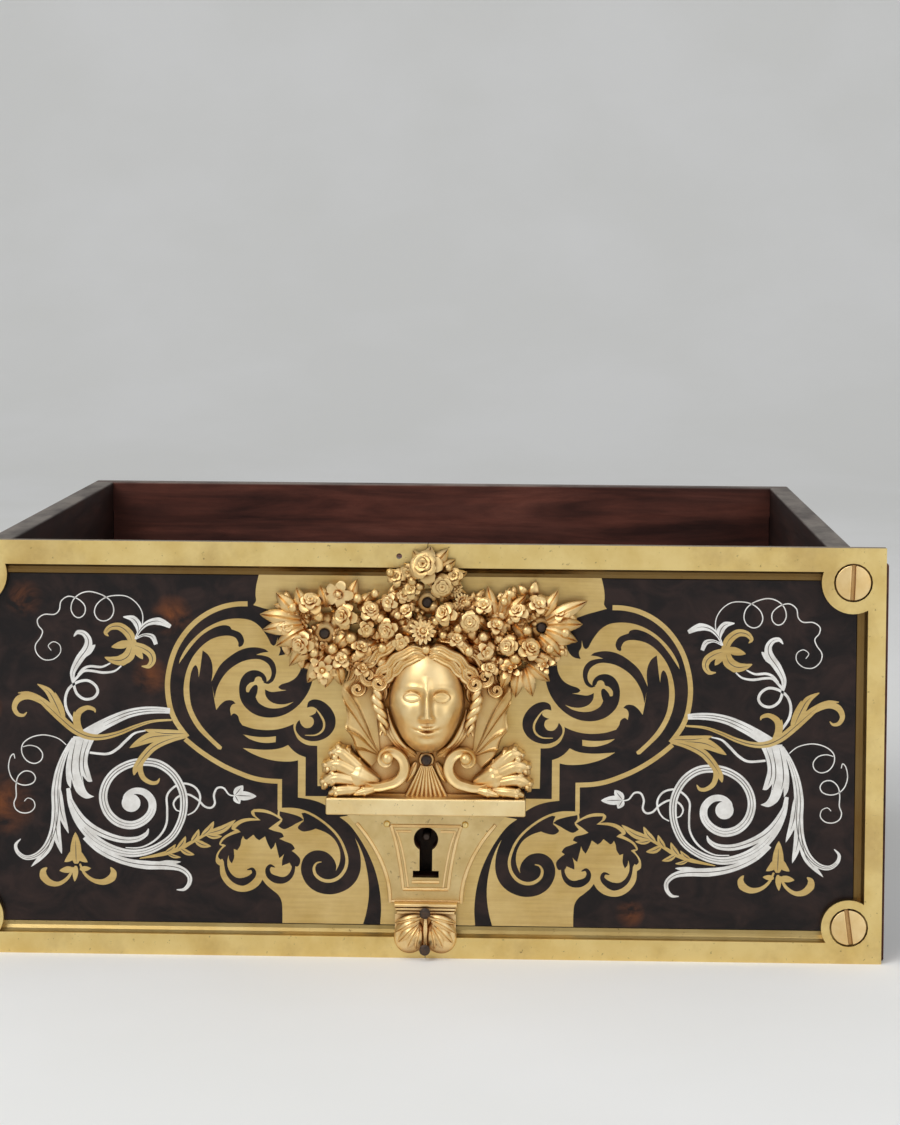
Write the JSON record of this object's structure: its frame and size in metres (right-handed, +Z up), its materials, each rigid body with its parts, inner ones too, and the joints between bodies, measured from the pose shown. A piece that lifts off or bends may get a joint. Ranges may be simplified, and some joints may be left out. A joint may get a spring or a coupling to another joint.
{
  "type": "drawer with marquetry front",
  "caption": "Lift-out wooden drawer with a brass and turtle-shell marquetry front, a gilt bronze frame, a mask mount over a keyhole escutcheon, and a lock whose bolt shoots down.",
  "frame": {"origin": "middle of the drawer's overall box, on the surface that it stands on", "axes": "+X to the right as seen from the front, +Y from the front to the back, +Z up"},
  "size_m": [0.4166, 0.413, 0.183],
  "materials": {
    "walnut": "dark, dry and worn",
    "gilt_bronze": "mercury-gilt, part matt and part burnished",
    "engraved_brass": "engraved sheet, finely scratched",
    "pewter": "engraved sheet",
    "turtle_shell": "polished, dark with red-brown clouds",
    "dark_steel": "browned iron"
  },
  "bodies": {
    "drawer": {"front_board": "walnut", "left_side": "walnut", "right_side": "walnut", "back_board": "walnut", "bottom_board": "walnut", "bottom_nail_left": "dark_steel", "bottom_nail_centre": "dark_steel", "bottom_nail_right": "dark_steel", "frame_left_half": "gilt_bronze", "frame_right_half": "gilt_bronze", "frame_screw_top_left": "gilt_bronze", "frame_screw_top_right": "gilt_bronze", "frame_screw_bottom_left": "gilt_bronze", "frame_screw_bottom_right": "gilt_bronze", "shell_ground_left": "turtle_shell", "shell_ground_right": "turtle_shell", "brass_cartouche": "engraved_brass", "pewter_volute_left": "pewter", "pewter_volute_right": "pewter", "acanthus_drop": "gilt_bronze", "drop_screw_upper": "dark_steel", "drop_screw_lower": "dark_steel", "escutcheon_plate": "gilt_bronze", "escutcheon_pin_left": "gilt_bronze", "escutcheon_pin_right": "gilt_bronze", "cornice_bar": "gilt_bronze", "mask_mount": "gilt_bronze", "mask_screw_left": "dark_steel", "mask_screw_right": "dark_steel", "mask_screw_top": "dark_steel", "mask_screw_chin": "dark_steel", "lock_plate": "dark_steel", "bolt_guide_lower": "dark_steel", "bolt_guide_upper": "dark_steel", "drill_pin": "dark_steel", "lock_cap": "dark_steel", "lock_screw_lower_left": "dark_steel", "lock_screw_lower_right": "dark_steel", "lock_screw_upper_left": "dark_steel", "lock_screw_upper_right": "dark_steel"},
    "bolt": {"lock_bolt": "dark_steel", "bolt_spring": "dark_steel"}
  },
  "joints": [
    {"name": "bolt_slide", "type": "slide", "parent": "drawer", "child": "bolt", "axis": [0, 0, -1], "range_m": [0, 0.008]}
  ]
}
